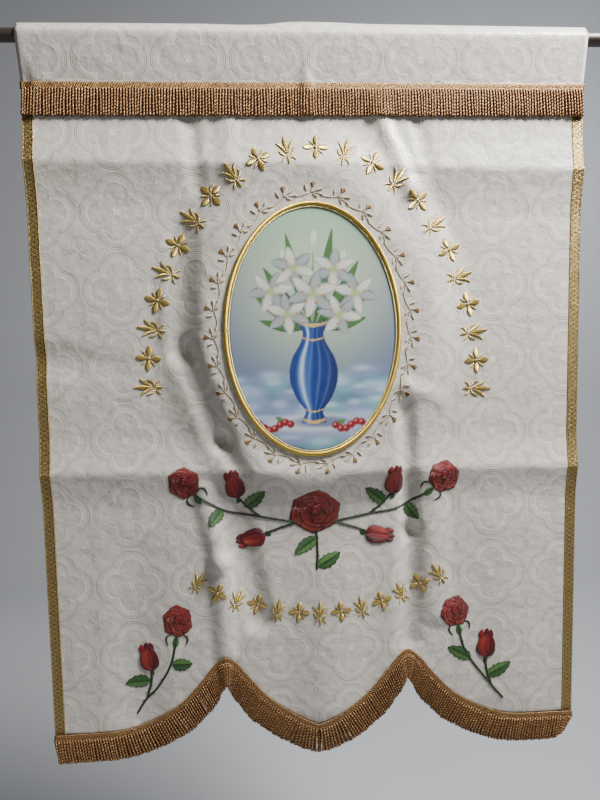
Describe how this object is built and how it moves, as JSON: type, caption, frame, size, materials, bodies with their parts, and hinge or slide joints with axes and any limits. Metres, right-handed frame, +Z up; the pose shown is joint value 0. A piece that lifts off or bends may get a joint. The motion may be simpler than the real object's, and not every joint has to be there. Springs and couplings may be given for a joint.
{
  "type": "church banner on a rod",
  "caption": "White damask banner with a scalloped hem, gold fringes and braids, an oval picture and rose sprays, hanging by its sleeve from a round rod.",
  "frame": {"origin": "middle of the rod, on its axis", "axes": "+X along the rod to the viewer's right, +Z up, -Y out of the front of the banner"},
  "size_m": [1.028, 0.0391, 1.186],
  "materials": {
    "damask": "white satin damask with a woven pattern of rings",
    "fringe_gold": "twisted gold bullion thread",
    "braid_gold": "woven gold braid",
    "band_gold": "padded gold embroidery",
    "picture_cloth": "printed satin",
    "rose_silk": "raised silk embroidery",
    "rod_wood": "dark varnished wood"
  },
  "bodies": {
    "root": {"rod": "rod_wood", "banner_cloth": "damask", "top_fringe": "fringe_gold", "hem_fringe": "fringe_gold", "braid_left": "braid_gold", "braid_right": "braid_gold", "oval_picture": "picture_cloth", "oval_band": "band_gold", "rose_spray_left": "rose_silk", "rose_spray_middle": "rose_silk", "rose_spray_right": "rose_silk"}
  },
  "joints": []
}
